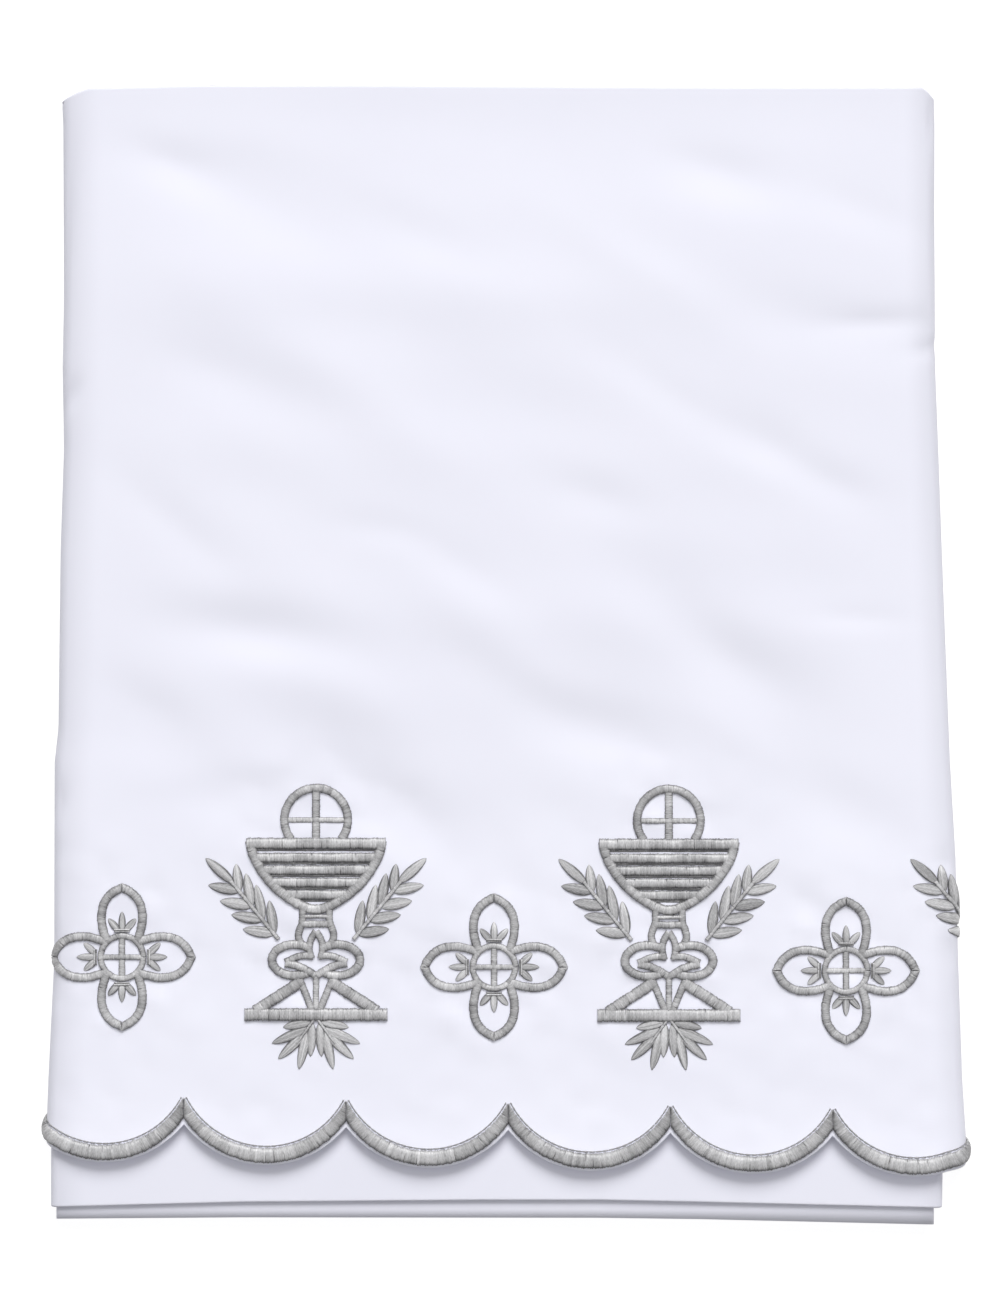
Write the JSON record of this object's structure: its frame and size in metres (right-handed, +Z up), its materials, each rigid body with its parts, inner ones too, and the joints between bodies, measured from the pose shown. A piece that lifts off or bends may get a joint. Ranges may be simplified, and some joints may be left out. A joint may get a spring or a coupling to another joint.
{
  "type": "folded altar cloth",
  "caption": "White altar cloth folded flat, with a scalloped satin-stitched hem and embroidered chalices, wheat and quatrefoil crosses.",
  "frame": {"origin": "middle of the folded packet in plan, on the surface it lies on", "axes": "+Z up, out of the embroidered face; -Y towards the scalloped front hem; +X to the right seen from the front"},
  "size_m": [0.4175, 0.5134, 0.016],
  "materials": {
    "white_cotton": "white plain-woven cotton, matt, ironed flat",
    "silver_grey_thread": "silver-grey embroidery thread in satin stitch, with a soft sheen"
  },
  "bodies": {
    "root": {"cloth": "white_cotton", "scalloped_edging": "silver_grey_thread", "chalice_left": "silver_grey_thread", "chalice_right": "silver_grey_thread", "wheat_left_of_chalice_left": "silver_grey_thread", "wheat_right_of_chalice_left": "silver_grey_thread", "wheat_left_of_chalice_right": "silver_grey_thread", "wheat_right_of_chalice_right": "silver_grey_thread", "wheat_at_right_fold": "silver_grey_thread", "quatrefoil_left": "silver_grey_thread", "quatrefoil_middle": "silver_grey_thread", "quatrefoil_right": "silver_grey_thread"}
  },
  "joints": []
}
